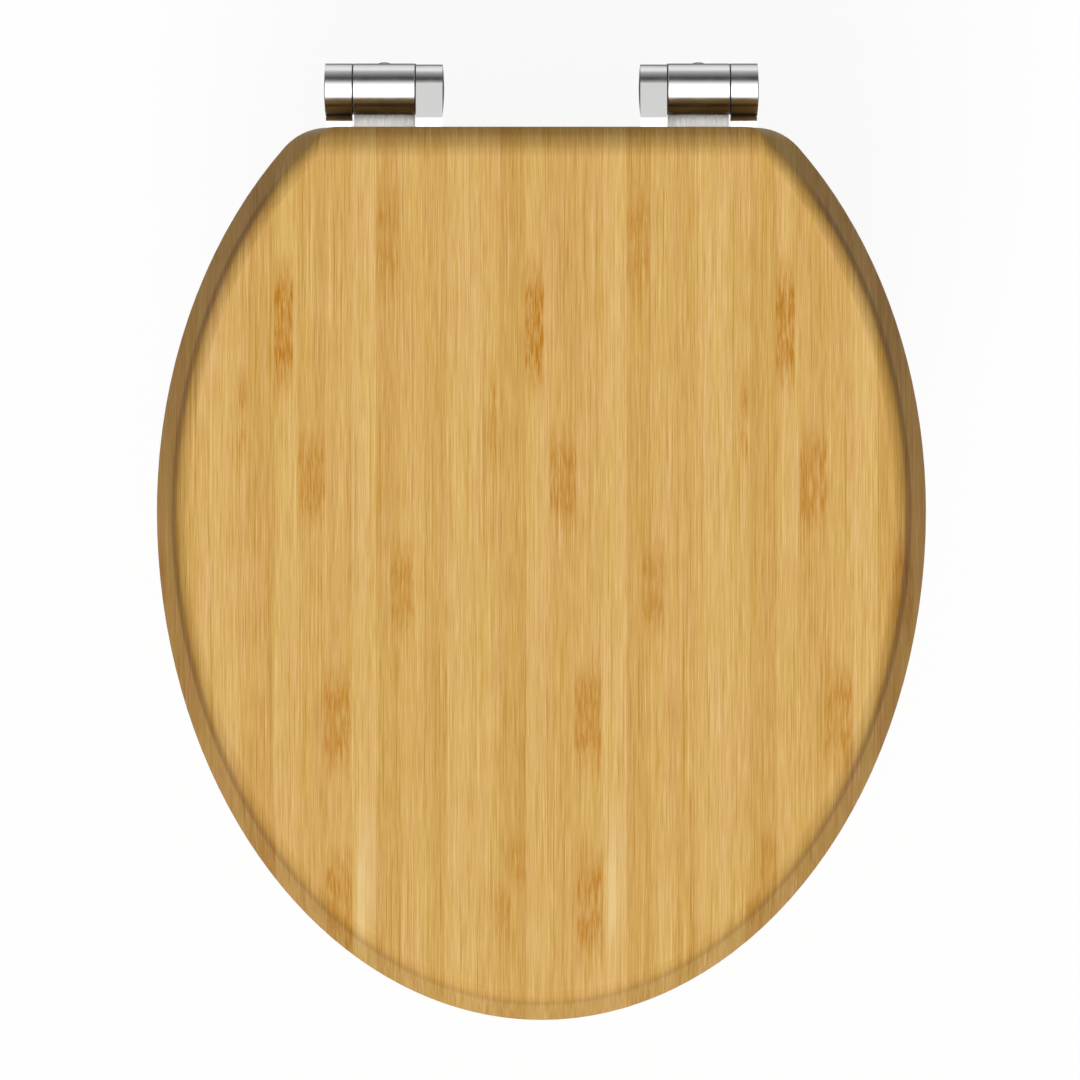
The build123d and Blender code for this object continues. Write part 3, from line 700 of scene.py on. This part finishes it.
FLOOR_HALF = 40.0
FLOOR_DROP = 0.1
FLOOR_COLOUR = srgb(244, 244, 243)
FLOOR_BOUNCE = srgb(205, 205, 205)
FLOOR_GLOW = 0.92
PAPER_ROUGHNESS = 0.9
SOFT_LIGHT_DIRECTION = (-0.05, -0.20, 0.98)
SOFT_LIGHT_LEVEL = 2.4
SOFT_LIGHT_NARROWING = 0.65
SOFT_LIGHT_EDGE = (0.57, 1.12)
FRONT_LAMP_DIRECTION = (-0.10, -0.77, 0.63)
FRONT_LAMP_LEVEL = 2.4
FRONT_LAMP_WIDTH = 24.0
WALL_LEVELS = ((0.0, 0.60), (0.30, 0.32), (0.62, 0.06), (1.0, 0.0))
END_WALL_SPAN = (0.35, 0.85)
SIDE_WALL_SHARE = 0.3

floor_height = cad_box[0][2] - FLOOR_DROP
floor_mesh = bpy.data.meshes.new("floor")
floor_mesh.from_pydata([(x * FLOOR_HALF, y * FLOOR_HALF, floor_height)
                        for x, y in ((-1, -1), (1, -1), (1, 1), (-1, 1))], [], [(0, 1, 2, 3)])
floor = bpy.data.objects.new("floor", floor_mesh)
bpy.context.scene.collection.objects.link(floor)

paper, paper_tree, paper_surface, _ = start_finish("studio_paper")
paper_surface.inputs["Roughness"].default_value = PAPER_ROUGHNESS
paper_surface.inputs["Specular IOR Level"].default_value = 0.0
seen = node(paper_tree, "LightPath").outputs
paper_colour = mixed(paper_tree, seen["Is Diffuse Ray"], FLOOR_COLOUR, FLOOR_BOUNCE)
paper_tree.links.new(paper_colour, paper_surface.inputs["Base Color"])
looked_at = reckon(paper_tree, "MAXIMUM", seen["Is Camera Ray"], seen["Is Glossy Ray"])
looked_at = reckon(paper_tree, "MAXIMUM", looked_at, seen["Is Transmission Ray"])
glow_share = reckon(paper_tree, "MULTIPLY", looked_at, FLOOR_GLOW)
glow = node(paper_tree, "Emission", {"Color": (1, 1, 1, 1), "Strength": 1.0}).outputs["Emission"]
lit_paper = node(paper_tree, "MixShader", {0: glow_share, 1: paper_surface.outputs["BSDF"], 2: glow})
paper_tree.links.new(lit_paper.outputs["Shader"], paper_tree.nodes["Material Output"].inputs["Surface"])
floor_mesh.materials.append(paper)

studio = bpy.data.worlds.new("studio")
bpy.context.scene.world = studio
studio.use_nodes = True
sky = studio.node_tree
direction = node(sky, "TexCoord").outputs["Generated"]
toward = node(sky, "SeparateXYZ", {"Vector": direction}).outputs
facing = node(sky, "VectorMath", {0: direction, 1: SOFT_LIGHT_DIRECTION}, operation="DOT_PRODUCT")
aside = reckon(sky, "MULTIPLY", toward["X"], toward["X"])
within = reckon(sky, "MULTIPLY_ADD", aside, -SOFT_LIGHT_NARROWING, facing.outputs["Value"])
soft_light = rescale(sky, within, SOFT_LIGHT_EDGE, (0.0, SOFT_LIGHT_LEVEL), "SMOOTHSTEP")
walls = levels(sky, toward["Z"], WALL_LEVELS)
end_walls = rescale(sky, reckon(sky, "ABSOLUTE", toward["Y"]), END_WALL_SPAN, (SIDE_WALL_SHARE, 1.0),
                    "SMOOTHSTEP")
backdrop = reckon(sky, "MULTIPLY", walls, end_walls)
sky.links.new(reckon(sky, "ADD", backdrop, soft_light), sky.nodes["Background"].inputs["Color"])

front_lamp = bpy.data.lights.new("front_lamp", "SUN")
front_lamp.energy = FRONT_LAMP_LEVEL
front_lamp.angle = radians(FRONT_LAMP_WIDTH)
lamp = bpy.data.objects.new("front_lamp", front_lamp)
bpy.context.scene.collection.objects.link(lamp)
lamp.visible_glossy = False
lamp.rotation_euler = Vector(FRONT_LAMP_DIRECTION).to_track_quat("Z", "Y").to_euler()


# Camera: straight above the closed seat with the hinges at the top of the picture, far off on a long
# lens. The picture is square and spans a little over half a metre at the lid's edge.

PICTURE_SPAN = 0.5263
PICTURE_CENTRE = (-0.0007, -0.1927)
PICTURE_HEIGHT = 0.040
LENS = 300.0
SENSOR = 36.0
FARTHEST_SEEN = 60.0

lens = bpy.data.cameras.new("camera")
lens.lens = LENS
lens.sensor_width = SENSOR
lens.clip_end = FARTHEST_SEEN
camera = bpy.data.objects.new("camera", lens)
bpy.context.scene.collection.objects.link(camera)
camera.location = (*PICTURE_CENTRE, PICTURE_HEIGHT + PICTURE_SPAN * LENS / SENSOR)
bpy.context.scene.camera = camera
bpy.context.scene.view_settings.view_transform = "Standard"
